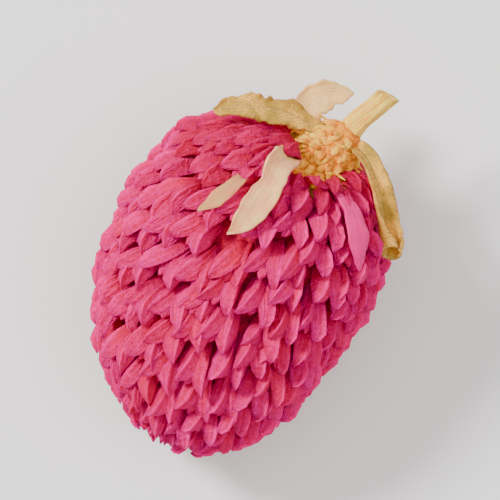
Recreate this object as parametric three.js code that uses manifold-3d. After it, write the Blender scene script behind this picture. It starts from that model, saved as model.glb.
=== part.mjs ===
// A dried globe amaranth flower head, picked whole with a short cut stub of its stalk, lying on its side.
// The stalk widens into a straw-coloured receptacle. Two dried leafy bracts grow opposite each other at its
// foot, pairs of papery crimson bracteoles cover the head in a spiral, and a few of the lowest bracts have
// faded to cream or mauve.
//
// Millimetres, +Z up. Z = 0 is the surface it lies on, +X points towards the stalk, and the origin is under
// the middle of the whole piece. Inside the head, u is the distance from the receptacle's end towards the
// rounded tip, r the distance from the head's axis, and phi the angle round it, with 90 degrees at the top.
import * as THREE from "three";
import { mergeVertices } from "three/addons/utils/BufferGeometryUtils.js";
import Module from "manifold-3d";

const wasm = await Module();
wasm.setup();

// Size and pose of the whole head.
const HEAD_LENGTH = 28.6;
const HEAD_RADIUS = 10.2;
const WIDEST_AT = 11;
const SKIRT_AT = 1.5;
const TIP_FULLNESS = 2.6;
const SKIRT_FULLNESS = 2.6;
const TIP_DRIFT = 2.0;
const LEAN_DEG = 12;
const PRESSED_FLAT = 1.1;
const CENTRE_X = 11.56;
const CENTRE_Y = 0.08;
const GAP = 0.3;

// Bracteoles: two to a floret, and a ring of longer ones round the receptacle.
const FLORETS = 122;
const FIRST_TIP_AT = 7.6;
const STAND_OUT = 2.0;
const ROOT_DEPTH = 1.6;
const BRACT_LENGTH = 4.2;
const BRACT_WIDTH = 2.15;
const BRACT_KEEL = 0.95;
const PAIR_SPACING = 2.15;
const PAIR_SPLAY = 0.5;
const PAIR_ROLL_DEG = 14;
const CROWN_ARC = 8;
const SKIRT_BRACTS = 21;
const SKIRT_ROWS = 3;
const SKIRT_ROW_STEP = 1.7;
const SKIRT_FIRST_TIP_AT = 6.0;
const SKIRT_SHOULDER_AT = 1.2;
const SKIRT_WIDTH = 2.5;
const SKIRT_KEEL = 0.8;
const SHOULDER_CLEARING = 1.6;

// The core that they stand out of.
const CORE_SIDES = 12;
const CORE_RINGS = 6;
const CORE_BASE_AT = 4.1;
const CORE_BASE_RADIUS = 3.1;

// Receptacle and stalk, turned a little to one side of the head's axis.
const NECK_TURN_DEG = 11;
const NECK_AT = 4.4;
const NECK_SHIFT = -0.6;
const RECEPTACLE_RADIUS = 2.55;
const RECEPTACLE_END = 3.8;
const RECEPTACLE_SIDES = 14;
const RECEPTACLE_TUFTS = 54;
const TUFT_HEIGHT = 0.75;
const TUFT_RADIUS = 0.42;
const TUFT_SUNK = 0.35;
const STALK_RADIUS = 0.78;
const STALK_END = -5.1;
const STALK_SIDES = 10;

// Flat leafy and faded bracts. A path's points are [u, sideways, height] from the head's axis, facing is the
// direction of the upper face, widths are [share of the length, width], and fold is the rise of the edges
// for each millimetre from the midrib, at the foot and at the tip.
const BLADE_THICKNESS = 0.6;
const CURLED_LEAF = {
  path: [
    [-0.2, -2.0, 0.3],
    [0.0, -4.0, 1.4],
    [1.3, -6.0, 2.5],
    [3.3, -7.7, 2.9],
    [5.0, -8.9, 2.3],
    [5.9, -9.6, 1.2],
    [6.1, -9.9, 0.1],
  ],
  facing: [0.5, -0.45, 0.75],
  widths: [
    [0, 1.1],
    [0.25, 2.1],
    [0.6, 2.5],
    [0.85, 2.0],
    [1, 1.1],
  ],
  fold: [0.4, 1.1],
  wave: 0.18,
  waves: 2.5,
  steps: 14,
};
const FLAT_LEAF = {
  path: [
    [0.4, 0.4, 0.5],
    [0.4, 2.6, 1.2],
    [0.9, 4.9, 2.3],
    [1.9, 6.9, 3.1],
    [3.4, 8.6, 3.4],
  ],
  facing: [0.45, 0.25, 0.85],
  widths: [
    [0, 1.2],
    [0.35, 2.6],
    [0.65, 2.9],
    [0.88, 1.8],
    [1, 0.7],
  ],
  fold: [0.3, 0.15],
  wave: 0.3,
  waves: 3,
  steps: 12,
};
const BACK_BRACT = {
  path: [
    [1.2, 0.4, -1.5],
    [0.2, 2.0, -2.4],
    [-1.2, 2.3, -3.0],
    [-2.6, 1.2, -3.3],
    [-3.7, -0.4, -3.4],
  ],
  facing: [0.3, 0.2, 0.9],
  widths: [
    [0, 1.3],
    [0.4, 3.0],
    [0.7, 3.0],
    [1, 0.8],
  ],
  fold: [0.3, 0.2],
  wave: 0.14,
  waves: 1.5,
  steps: 9,
};
const STRAP_BRACT = {
  path: [
    [3.2, 0.6, 2.1],
    [3.3, 1.4, 4.6],
    [4.2, 1.8, 7.1],
    [6.1, 1.7, 9.1],
    [8.0, 2.1, 10.1],
    [9.7, 2.7, 10.4],
  ],
  facing: [0.8, 0, 0.9],
  widths: [
    [0, 1.4],
    [0.35, 2.4],
    [0.55, 1.9],
    [0.8, 2.5],
    [1, 0.6],
  ],
  fold: [0.3, 0.25],
  wave: 0.14,
  waves: 2,
  steps: 12,
};
const SIDE_BRACT = {
  path: [
    [3.4, -2.0, 1.9],
    [3.3, -3.9, 4.4],
    [4.2, -5.7, 5.8],
    [5.6, -7.2, 5.8],
    [6.5, -8.4, 5.2],
  ],
  facing: [0.5, -0.5, 0.7],
  widths: [
    [0, 1.2],
    [0.5, 1.8],
    [0.8, 2.1],
    [1, 0.6],
  ],
  fold: [0.2, -0.4],
  wave: 0.08,
  waves: 1,
  steps: 9,
};
const SMALL_BRACT = {
  path: [
    [4.9, 3.3, 5.6],
    [5.9, 4.2, 8.1],
    [7.7, 4.9, 9.1],
    [9.6, 5.7, 8.9],
  ],
  facing: [0.4, 0.4, 0.8],
  widths: [
    [0, 1.0],
    [0.45, 1.7],
    [0.75, 2.2],
    [1, 0.6],
  ],
  fold: [0.2, 0.3],
  wave: 0.08,
  waves: 1,
  steps: 7,
};

const GOLDEN_ANGLE = Math.PI * (3 - Math.sqrt(5));
const radians = THREE.MathUtils.degToRad;
const mix = THREE.MathUtils.lerp;

// A repeatable source of numbers from 0 to 1.
function seeded(seed) {
  let state = seed >>> 0;
  return () => {
    state = (state + 0x6d2b79f5) >>> 0;
    let t = Math.imul(state ^ (state >>> 15), state | 1);
    t ^= t + Math.imul(t ^ (t >>> 7), t | 61);
    return ((t ^ (t >>> 14)) >>> 0) / 4294967296;
  };
}

// Between minus and plus the given amount.
function jitter(random, amount) {
  return (random() * 2 - 1) * amount;
}

// Outer radius of the head, over the bracts' tips.
function envelope(u) {
  const tipward = u > WIDEST_AT;
  const reach = tipward ? HEAD_LENGTH - WIDEST_AT : WIDEST_AT - SKIRT_AT;
  const share = Math.min(1, Math.abs(u - WIDEST_AT) / reach);
  return HEAD_RADIUS * Math.sqrt(1 - share ** (tipward ? TIP_FULLNESS : SKIRT_FULLNESS));
}

// The head's outline as a table of arc length and area, from the skirt to the tip.
const OUTLINE_STEPS = 400;
const outline = [];
for (let i = 0; i <= OUTLINE_STEPS; i++) {
  const u = mix(SKIRT_AT, HEAD_LENGTH, (1 - Math.cos((Math.PI * i) / OUTLINE_STEPS)) / 2);
  const r = envelope(u);
  const last = outline[i - 1] ?? { u, r, arc: 0, area: 0 };
  const step = Math.hypot(u - last.u, r - last.r);
  outline.push({ u, r, arc: last.arc + step, area: last.area + step * (r + last.r) });
}
const { arc: ARC_END, area: AREA_END } = outline[OUTLINE_STEPS];

// The two rows of the outline's table round a value of one of its columns, and the share between them.
function between(column, value) {
  const found = outline.findIndex((row, i) => i > 0 && row[column] >= value);
  const high = found < 0 ? OUTLINE_STEPS : found;
  const a = outline[high - 1];
  const b = outline[high];
  return { a, b, share: THREE.MathUtils.clamp((value - a[column]) / (b[column] - a[column]), 0, 1) };
}

// Reads one column of the outline's table at a value of another.
function lookUp(wanted, column, value) {
  const { a, b, share } = between(column, value);
  return mix(a[wanted], b[wanted], share);
}

// The point [u, r] under the outline at an arc length: in along its normal, or out where depth is negative.
function under(arc, depth) {
  const { a, b, share } = between("arc", THREE.MathUtils.clamp(arc, 0, ARC_END));
  const run = Math.hypot(b.u - a.u, b.r - a.r);
  const u = mix(a.u, b.u, share) + (depth * (b.r - a.r)) / run;
  const r = mix(a.r, b.r, share) - (depth * (b.u - a.u)) / run;
  return [u, Math.max(0, r)];
}

// The head's own frame: the axis runs along -X towards the tip, and sideways goes round it.
function inHead(u, r, phi, sideways = 0) {
  const across = Math.cos(phi);
  const up = Math.sin(phi);
  return new THREE.Vector3(-u, r * across - sideways * up, r * up + sideways * across);
}

// Moves a point with the head's axis, which drifts to one side towards the tip.
function drifted(point) {
  const past = Math.max(0, -point.x - WIDEST_AT) / (HEAD_LENGTH - WIDEST_AT);
  return point.setY(point.y - TIP_DRIFT * past ** 2);
}

// The receptacle's and stalk's frame inside the head's: their axis turns away at the neck.
const neck = new THREE.Matrix4()
  .makeTranslation(-NECK_AT, NECK_SHIFT, 0)
  .multiply(new THREE.Matrix4().makeRotationZ(-radians(NECK_TURN_DEG)))
  .multiply(new THREE.Matrix4().makeTranslation(NECK_AT, 0, 0));

// A manifold-3d solid from positions and faces, turned face out if it came inside out.
function solid(positions, indices) {
  const flat = new THREE.BufferGeometry();
  flat.setAttribute("position", new THREE.Float32BufferAttribute(positions, 3));
  flat.setIndex(indices);
  const merged = mergeVertices(flat, 1e-4);
  const faces = [];
  for (let i = 0; i < merged.index.count; i += 3) {
    const face = [0, 1, 2].map((j) => merged.index.getX(i + j));
    if (new Set(face).size === 3) faces.push(face);
  }
  const make = (corners) =>
    new wasm.Manifold(
      new wasm.Mesh({
        numProp: 3,
        vertProperties: merged.attributes.position.array,
        triVerts: new Uint32Array(corners.flat()),
      }),
    );
  const made = make(faces);
  return made.volume() > 0 ? made : make(faces.map(([a, b, c]) => [a, c, b]));
}

// A closed solid from rings of points, each ring wound the same way, ending in a point or a flat face.
function loft(rings, tip) {
  const sides = rings[0].length;
  const points = rings.flat();
  const faces = [];
  for (let k = 0; k + 1 < rings.length; k++) {
    for (let j = 0; j < sides; j++) {
      const a = k * sides + j;
      const b = k * sides + ((j + 1) % sides);
      faces.push([a, b, b + sides], [a, b + sides, a + sides]);
    }
  }
  for (let j = 1; j + 1 < sides; j++) faces.push([0, j + 1, j]);
  const last = (rings.length - 1) * sides;
  if (tip) {
    points.push(tip);
    for (let j = 0; j < sides; j++) faces.push([last + j, last + ((j + 1) % sides), points.length - 1]);
  } else {
    for (let j = 1; j + 1 < sides; j++) faces.push([last, last + j, last + j + 1]);
  }
  return solid(points.flatMap((p) => p.toArray()), faces.flat());
}

// A solid of revolution about the head's axis, from [u, r] points that start and end on the axis, with each
// of its points then moved by place.
function turned(profile, sides, place) {
  const lathe = new THREE.LatheGeometry(profile.map(([u, r]) => new THREE.Vector2(r, u)), sides);
  const { position } = lathe.rotateZ(Math.PI / 2).attributes;
  const point = new THREE.Vector3();
  for (let i = 0; i < position.count; i++) {
    position.setXYZ(i, ...place(point.fromBufferAttribute(position, i)).toArray());
  }
  return solid(Array.from(position.array), Array.from(lathe.index.array));
}

function union(solids) {
  return wasm.Manifold.union(solids);
}

// The biggest body of a solid, without loose scraps.
function whole(made) {
  return made.decompose().reduce((best, body) => (body.volume() > best.volume() ? body : best));
}

// One bracteole: a keeled, pointed boat along a curve that rises from root over bend to tip, all [u, r].
function bracteole({ root, bend, tip, phi, offset, splay, width, keel, roll, sections }) {
  const curve = new THREE.QuadraticBezierCurve(...[root, bend, tip].map((p) => new THREE.Vector2(...p)));
  const place = (share) => {
    const { x: u, y: r } = curve.getPoint(share);
    return drifted(inHead(u, r, phi, offset + splay * share));
  };
  const rings = sections.map(({ at, wide, high }) => {
    const { x: run, y: rise } = curve.getTangent(at);
    const along = inHead(run, rise, phi);
    const out = inHead(-rise, run, phi).applyAxisAngle(along, roll);
    const across = inHead(0, 0, phi, 1).applyAxisAngle(along, roll);
    const half = (width * wide) / 2;
    const corner = (x, y) => place(at).addScaledVector(across, x).addScaledVector(out, y);
    return [corner(-half, 0), corner(half, 0), corner(0, keel * high)];
  });
  return loft(rings, place(1));
}

const SCALE_SECTIONS = [
  { at: 0.1, wide: 0.75, high: 0.9 },
  { at: 0.55, wide: 1, high: 1 },
  { at: 0.84, wide: 0.66, high: 0.72 },
];
const SKIRT_SECTIONS = [
  { at: 0.05, wide: 0.7, high: 0.9 },
  { at: 0.35, wide: 0.95, high: 0.8 },
  { at: 0.68, wide: 1, high: 0.8 },
  { at: 0.88, wide: 0.6, high: 0.7 },
];

// The florets' bracteoles, spread evenly over the head by area along the golden-angle spiral. Towards the
// crown they are shorter, narrower and more upright.
function scales() {
  const random = seeded(31);
  const start = lookUp("area", "arc", FIRST_TIP_AT);
  const made = [];
  for (let i = 0; i < FLORETS; i++) {
    const arc = lookUp("arc", "area", mix(start, AREA_END, (i + 0.5) / FLORETS)) + jitter(random, 0.3);
    const phi = i * GOLDEN_ANGLE + jitter(random, 0.05);
    const crown = THREE.MathUtils.smoothstep(arc, ARC_END - CROWN_ARC, ARC_END);
    const small = 1 - 0.3 * crown;
    for (const hand of [-1, 1]) {
      const length = BRACT_LENGTH * (1 + jitter(random, 0.12)) * (1 - 0.7 * crown);
      const lift = jitter(random, 0.3);
      made.push(
        bracteole({
          root: under(arc - length, STAND_OUT + ROOT_DEPTH),
          bend: under(arc - length * 0.55, STAND_OUT * 0.12 - lift * 0.5),
          tip: under(arc, -lift),
          phi,
          offset: (hand * PAIR_SPACING * small) / 2,
          splay: hand * PAIR_SPLAY * small * (0.6 + 0.8 * random()),
          width: BRACT_WIDTH * small * (1 + jitter(random, 0.12)),
          keel: BRACT_KEEL * small,
          roll: hand * radians(PAIR_ROLL_DEG) * (0.4 + 1.2 * random()),
          sections: SCALE_SECTIONS,
        }),
      );
    }
  }
  return made;
}

// The oldest bracteoles: long and smooth, in rows from the receptacle round the head's shoulder. On the upper
// side they stand back from the receptacle.
function skirt() {
  const random = seeded(57);
  const made = [];
  for (let i = 0; i < SKIRT_BRACTS; i++) {
    const row = i % SKIRT_ROWS;
    const phi = i * GOLDEN_ANGLE + 0.4;
    const arc = SKIRT_FIRST_TIP_AT + SKIRT_ROW_STEP * row + jitter(random, 0.5);
    const out = jitter(random, 0.35);
    const [shoulder, rise] = under(SKIRT_SHOULDER_AT + row * SKIRT_ROW_STEP / 2, -SKIRT_KEEL - out);
    made.push(
      bracteole({
        root: [CORE_BASE_AT + 0.7, CORE_BASE_RADIUS - 0.2 + 0.35 * row],
        bend: [shoulder + SHOULDER_CLEARING * Math.max(0, Math.sin(phi)) ** 2, rise],
        tip: under(arc, -0.15 - out),
        phi,
        offset: 0,
        splay: jitter(random, 0.5),
        width: SKIRT_WIDTH + jitter(random, 0.3),
        keel: SKIRT_KEEL,
        roll: jitter(random, 0.25),
        sections: SKIRT_SECTIONS,
      }),
    );
  }
  return made;
}

// The spike's axis with the florets' hidden parts.
function core(margin = 0) {
  const profile = [
    [CORE_BASE_AT - margin, 0],
    [CORE_BASE_AT - margin, CORE_BASE_RADIUS + margin],
  ];
  for (let i = 0; i < CORE_RINGS; i++) {
    profile.push(under(mix(CORE_BASE_RADIUS, ARC_END, (i + 0.5) / CORE_RINGS), STAND_OUT - margin));
  }
  profile.push([HEAD_LENGTH - STAND_OUT + margin, 0]);
  return turned(profile, CORE_SIDES, drifted);
}

function receptacleBody(margin = 0) {
  const profile = [
    [-0.9 - margin, 0],
    [-0.8 - margin, STALK_RADIUS + 0.25 + margin],
    [0, RECEPTACLE_RADIUS * 0.62 + margin],
    [1.2, RECEPTACLE_RADIUS * 0.85 + margin],
    [2.6, RECEPTACLE_RADIUS + margin],
    [RECEPTACLE_END + margin, RECEPTACLE_RADIUS + 0.1 + margin],
    [RECEPTACLE_END + margin, 0],
  ];
  return turned(profile, RECEPTACLE_SIDES, (point) => point.applyMatrix4(neck));
}

// Short blunt tufts of wool where the lowest florets have dropped.
function tufts() {
  const random = seeded(11);
  const made = [];
  for (let i = 0; i < RECEPTACLE_TUFTS; i++) {
    const share = (i + 0.5) / RECEPTACLE_TUFTS;
    const phi = i * GOLDEN_ANGLE;
    const u = mix(0.1, RECEPTACLE_END - 0.7, share);
    const r = RECEPTACLE_RADIUS * mix(0.62, 0.98, share) - TUFT_SUNK;
    const height = TUFT_HEIGHT * (1 + jitter(random, 0.25));
    const out = inHead(-0.45 + jitter(random, 0.2), 1, phi + jitter(random, 0.15)).normalize();
    const across = inHead(0, 0, phi, 1);
    const beside = new THREE.Vector3().crossVectors(out, across);
    const foot = inHead(u, r, phi);
    const ring = [0, 1, 2].map((k) => {
      const turn = (k * 2 * Math.PI) / 3;
      return foot
        .clone()
        .addScaledVector(across, Math.cos(turn) * TUFT_RADIUS)
        .addScaledVector(beside, Math.sin(turn) * TUFT_RADIUS)
        .applyMatrix4(neck);
    });
    made.push(loft([ring], foot.clone().addScaledVector(out, TUFT_SUNK + height).applyMatrix4(neck)));
  }
  return made;
}

// The ribbed stalk, cut off slightly aslant a few millimetres below the head.
function stalk() {
  const path = new THREE.QuadraticBezierCurve3(inHead(0.6, 0, 0), inHead(-2, 0, 0), inHead(STALK_END, -0.3, 0));
  const rings = [0, 0.35, 0.7, 1].map((share) =>
    Array.from({ length: STALK_SIDES }, (_, j) => {
      const turn = (-j * 2 * Math.PI) / STALK_SIDES;
      const radius = STALK_RADIUS * (j % 2 ? 1 : 0.84) * (1.12 - 0.12 * share);
      const slant = share === 1 ? 0.35 * Math.sin(turn) : 0;
      const rim = new THREE.Vector3(slant, radius * Math.cos(turn), radius * Math.sin(turn));
      return path.getPoint(share).add(rim).applyMatrix4(neck);
    }),
  );
  return loft(rings);
}

// The width at a share of a blade's length, eased between the given ones.
function widthAt(widths, share) {
  const next = Math.max(1, widths.findIndex(([at]) => at >= share));
  const [from, narrow] = widths[next - 1];
  const [to, wide] = widths[next];
  return mix(narrow, wide, THREE.MathUtils.smoothstep(share, from, to));
}

// A thin dried blade, folded along its midrib and waved at its edges, or fatter all round by a margin.
function blade({ path, facing, widths, fold, wave, waves, steps }, margin = 0) {
  const curve = new THREE.CatmullRomCurve3(path.map(([u, aside, up]) => new THREE.Vector3(-u, aside, up)));
  const deep = BLADE_THICKNESS / 2 + margin;
  const rings = [];
  for (let k = 0; k <= steps; k++) {
    const share = k / steps;
    const along = curve.getTangentAt(share);
    const past = (k === steps ? margin : 0) - (k === 0 ? margin : 0);
    const centre = curve.getPointAt(share).addScaledVector(along, past);
    const across = new THREE.Vector3().crossVectors(along, new THREE.Vector3(...facing)).normalize();
    const out = new THREE.Vector3().crossVectors(across, along);
    const half = widthAt(widths, share) / 2 + margin;
    const skin = [-1, -0.5, 0, 0.5, 1].map((side) => {
      const ripple = wave * side * side * Math.sin(share * waves * 2 * Math.PI + (side > 0 ? 1.7 : 0));
      const rise = mix(...fold, share) * Math.abs(side) * half + ripple;
      return centre.clone().addScaledVector(across, side * half).addScaledVector(out, rise);
    });
    const upper = skin.map((p) => p.clone().addScaledVector(out, deep));
    const lower = skin.map((p) => p.clone().addScaledVector(out, -deep));
    rings.push([...upper, ...lower.reverse()]);
  }
  return loft(rings);
}

// The head lies leaning, its base end up, and its lowest bracts are pressed flat on the ground.
const lean = radians(LEAN_DEG);
const lowest = Math.min(...outline.map(({ u, r }) => -u * Math.sin(lean) - r * Math.cos(lean)));
const head = new THREE.Group();
head.rotation.y = -lean;
head.position.set(CENTRE_X, CENTRE_Y, -lowest - PRESSED_FLAT);
head.updateMatrixWorld(true);

// The ground as a block in the head's own frame.
function ground() {
  const block = new THREE.BoxGeometry(90, 90, 20).translate(0, 0, -10);
  block.applyMatrix4(head.matrixWorld.clone().invert());
  return solid(Array.from(block.attributes.position.array), Array.from(block.index.array));
}

const BLADES = [
  { name: "leaf_bract_curled", shape: CURLED_LEAF, color: 0xc6a86c, roughness: 0.75 },
  { name: "leaf_bract_flat", shape: FLAT_LEAF, color: 0xb99258, roughness: 0.75 },
  { name: "faded_bract_over_head", shape: STRAP_BRACT, color: 0xf0c4a4, roughness: 0.65 },
  { name: "faded_bract_behind", shape: BACK_BRACT, color: 0xe0ba98, roughness: 0.65 },
  { name: "faded_bract_side", shape: SIDE_BRACT, color: 0xe08ca8, roughness: 0.6 },
  { name: "faded_bract_small", shape: SMALL_BRACT, color: 0xdca68c, roughness: 0.65 },
];
const roomForBlades = union(BLADES.map(({ shape }) => blade(shape, GAP)));
const roomForReceptacle = receptacleBody(GAP);

const flowerHead = union([core(), ...scales(), ...skirt()])
  .subtract(roomForBlades)
  .subtract(roomForReceptacle)
  .subtract(ground());
const receptacle = union([receptacleBody(), ...tufts(), stalk()]).subtract(core(GAP)).subtract(roomForBlades);

const NODES = [
  { name: "flower_head", made: flowerHead, color: 0xc83a66, roughness: 0.6 },
  { name: "receptacle_and_stalk", made: receptacle, color: 0xe5a468, roughness: 0.85 },
  ...BLADES.map(({ shape, ...looks }) => ({ ...looks, made: blade(shape).subtract(roomForReceptacle) })),
];

for (const { name, made, color, roughness } of NODES) {
  const { vertProperties, triVerts } = whole(made).getMesh();
  const geometry = new THREE.BufferGeometry();
  geometry.setAttribute("position", new THREE.BufferAttribute(vertProperties, 3));
  geometry.setIndex(new THREE.BufferAttribute(triVerts, 1));
  geometry.computeVertexNormals();
  const mesh = new THREE.Mesh(geometry, new THREE.MeshStandardMaterial({ color, roughness, metalness: 0 }));
  mesh.name = name;
  head.add(mesh);
}

const amaranth = new THREE.Group();
amaranth.add(head);
export default amaranth;
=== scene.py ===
"""A dried globe amaranth head in full dress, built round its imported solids.

Lengths inside the head are in millimetres until a piece is placed. There u runs from the receptacle's end
towards the rounded tip, r is the distance from the axis, and phi the angle round it, 90 degrees at the top.
"""

import math
from typing import NamedTuple

import bpy
import numpy as np
from mathutils import Matrix, Vector


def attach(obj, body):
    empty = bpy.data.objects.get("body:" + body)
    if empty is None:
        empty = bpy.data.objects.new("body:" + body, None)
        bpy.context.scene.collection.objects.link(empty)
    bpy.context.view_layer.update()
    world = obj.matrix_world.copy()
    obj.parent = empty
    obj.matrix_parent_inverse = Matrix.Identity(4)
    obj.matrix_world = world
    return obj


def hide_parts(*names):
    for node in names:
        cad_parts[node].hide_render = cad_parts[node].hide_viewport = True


bl_info = {
    "name": "Dried Globe Amaranth",
    "version": (1, 0, 0),
    "blender": (4, 5, 0),
    "location": "3D View > Sidebar > Amaranth",
    "description": "Builds one dried globe amaranth head from its bracts, receptacle, stalk and leaves",
    "category": "Object",
}

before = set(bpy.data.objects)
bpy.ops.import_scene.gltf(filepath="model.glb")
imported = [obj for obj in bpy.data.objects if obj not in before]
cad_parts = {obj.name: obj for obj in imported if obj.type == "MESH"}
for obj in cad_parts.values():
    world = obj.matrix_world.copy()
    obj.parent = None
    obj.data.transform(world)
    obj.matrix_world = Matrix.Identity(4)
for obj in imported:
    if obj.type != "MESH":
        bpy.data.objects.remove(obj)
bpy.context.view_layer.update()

MM = 0.001
BODY = "root"
GOLDEN_ANGLE = math.pi * (3 - math.sqrt(5))

# The head's outline, lean and place, as in its solids.
HEAD_LENGTH = 28.6
HEAD_RADIUS = 10.2
WIDEST_AT = 11.0
SKIRT_AT = 1.5
TIP_FULLNESS = 2.6
SKIRT_FULLNESS = 2.6
TIP_DRIFT = 2.0
LEAN = math.radians(12)
PRESSED_FLAT = 1.1
CENTRE = (11.56, 0.08)
OUTLINE_STEPS = 400

# How bracts are eased off the surface, how far that would lift the lowest, and the heights where it ends.
EASE = 0.28
EASE_FOOT = 0.06
EASE_ENDS = (1.5, 4)

# The crown round the tip, how much closer its florets stand, and how far its small bracts reach.
CROWN = 9.0
CROWN_CROWDING = 1.3
CROWN_BRACTS = 4.6

# Arc lengths where the florets and the core begin, how deep the florets' roots and the core lie, and where
# the core closes on the axis.
FLORETS_FROM = 7.4
CORE_FROM = 3.0
ROOT_DEPTH = 3.0
CORE_DEPTH = 2.1
CORE_POLE = 4.0

# The side where the lowest florets have dropped and the woolly straw shows.
BARE_AT = math.radians(99)
BARE_SPREAD = math.radians(40)
BARE_RADIUS = 5.7
BARE_UNTIL = 9.2

# The lane of the long faded bract, free of short ones.
STRAP_AT = math.radians(77)
STRAP_SPREAD = math.radians(13)

# The side where the oldest florets keep long smooth bracts, and the share of them that has dropped.
LONG_AT = math.radians(22)
LONG_SPREAD = math.radians(52)
LONG_ENDS = (12, 16.5)
LONG_DROPPED = 0.32

# Arc lengths between which the florets lose the colours of the oldest.
OLD_ENDS = (6.5, 12.5)

# The neck, where the receptacle and stalk turn to one side.
NECK_TURN = math.radians(11)
NECK_AT = 4.4
NECK_SHIFT = -0.6


# Numbers


class Dice:
    """A repeatable source of numbers."""

    def __init__(self, seed):
        self.numbers = np.random.default_rng(seed)

    def share(self):
        return self.numbers.random()

    def about(self, middle, spread):
        return middle + spread * (2 * self.share() - 1)


def mix(a, b, share):
    return a + (b - a) * share


def smooth_step(low, high, value):
    share = np.clip((value - low) / (high - low), 0, 1)
    return share * share * (3 - 2 * share)


def columns(*values):
    return np.stack(values, axis=1)


def ring(sides):
    """Corners of a regular outline of radius one."""
    return [(math.cos(t), math.sin(t)) for t in np.linspace(0, 2 * math.pi, sides, endpoint=False)]


# The head's outline


def envelope(u):
    """Outer radius of the head at u."""
    tipward = u > WIDEST_AT
    reach = HEAD_LENGTH - WIDEST_AT if tipward else WIDEST_AT - SKIRT_AT
    share = min(1.0, abs(u - WIDEST_AT) / reach)
    return HEAD_RADIUS * math.sqrt(1 - share ** (TIP_FULLNESS if tipward else SKIRT_FULLNESS))


def outline_table():
    """Columns of u, r and arc length from the skirt to the tip."""
    turns = np.linspace(0, math.pi, OUTLINE_STEPS + 1)
    along = mix(SKIRT_AT, HEAD_LENGTH, (1 - np.cos(turns)) / 2)
    radius = np.array([envelope(u) for u in along])
    arc = np.concatenate([[0], np.cumsum(np.hypot(np.diff(along), np.diff(radius)))])
    return along, radius, arc


OUTLINE_U, OUTLINE_R, OUTLINE_ARC = outline_table()
ARC_END = OUTLINE_ARC[-1]


def crowding(arc):
    """How much closer the florets stand than on the flanks."""
    return 1 + CROWN_CROWDING * smooth_step(ARC_END - CROWN, ARC_END, arc)


OUTLINE_ROOM = np.concatenate(
    [[0], np.cumsum(np.diff(OUTLINE_ARC) * (OUTLINE_R * crowding(OUTLINE_ARC))[1:])]
)


def sector(phi, middle, spread):
    """1 at the middle of a sector of the head and 0 well outside it."""
    return math.exp(-((math.remainder(phi - middle, 2 * math.pi) / spread) ** 2))


def under(arc, depth):
    """The point [u, r] at an arc length, in along the outline's normal, or out where depth is negative."""
    arc = min(max(arc, 0.001), ARC_END - 0.001)
    high = min(np.searchsorted(OUTLINE_ARC, arc, side="right"), OUTLINE_STEPS)
    run_u = OUTLINE_U[high] - OUTLINE_U[high - 1]
    run_r = OUTLINE_R[high] - OUTLINE_R[high - 1]
    run = math.hypot(run_u, run_r)
    u = np.interp(arc, OUTLINE_ARC, OUTLINE_U) + depth * run_r / run
    r = np.interp(arc, OUTLINE_ARC, OUTLINE_R) - depth * run_u / run
    return np.array([u, max(0.0, r)])


# Frames and places


def lift():
    """Height of the head's axis origin, with its lowest bracts pressed flat."""
    lowest = np.min(-OUTLINE_U * math.sin(LEAN) - OUTLINE_R * math.cos(LEAN))
    return -lowest - PRESSED_FLAT


HEAD_FRAME = Matrix.Translation((CENTRE[0], CENTRE[1], lift())) @ Matrix.Rotation(-LEAN, 4, "Y")
NECK_FRAME = (
    Matrix.Translation((-NECK_AT, NECK_SHIFT, 0))
    @ Matrix.Rotation(-NECK_TURN, 4, "Z")
    @ Matrix.Translation((NECK_AT, 0, 0))
)


def moved(points, matrix):
    grid = np.array(matrix)
    return points @ grid[:3, :3].T + grid[:3, 3]


def round_axis(u, out, aside, phi):
    """Points at an angle round the axis, so far along it, out from it and aside."""
    across, up = math.cos(phi), math.sin(phi)
    return columns(-u, out * across - aside * up, out * up + aside * across)


def along_axis(points):
    """Points of a body made along Y, laid along the head's axis."""
    return columns(-points[:, 1], points[:, 0], points[:, 2])


def drifted(points):
    """Points moved with the head's axis, which drifts to one side towards the tip."""
    past = np.clip(-points[:, 0] - WIDEST_AT, 0, None) / (HEAD_LENGTH - WIDEST_AT)
    return points + np.outer(-TIP_DRIFT * past**2, [0, 1, 0])


def pressed(points):
    """Points eased up, in their order, where they would sink into the surface under the head."""
    z = points[:, 2]
    eased = (z + np.sqrt(z**2 + 4 * EASE**2)) / 2 - EASE_FOOT
    points[:, 2] = mix(eased, z, smooth_step(*EASE_ENDS, z))
    return points


def in_place(points):
    """Millimetres in the head's frame to metres in the part's frame."""
    return pressed(moved(points, HEAD_FRAME)) * MM


def points_of(mesh):
    flat = np.zeros(len(mesh.vertices) * 3)
    mesh.vertices.foreach_get("co", flat)
    return flat.reshape(-1, 3)


def set_points(mesh, points):
    mesh.vertices.foreach_set("co", np.asarray(points, float).ravel())
    mesh.update()


def paint(mesh, **values):
    """Stores a number for every point under each name, for the materials to read."""
    for name, value in values.items():
        attribute = mesh.attributes.get(name) or mesh.attributes.new(name, "FLOAT", "POINT")
        attribute.data.foreach_set("value", np.broadcast_to(value, len(mesh.vertices)).astype(np.float32))


# Modelling


def deselect():
    if bpy.context.object and bpy.context.object.mode != "OBJECT":
        bpy.ops.object.mode_set(mode="OBJECT")
    bpy.ops.object.select_all(action="DESELECT")


def pick(*objects):
    deselect()
    for obj in objects:
        obj.select_set(True)
    bpy.context.view_layer.objects.active = objects[0]


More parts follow.
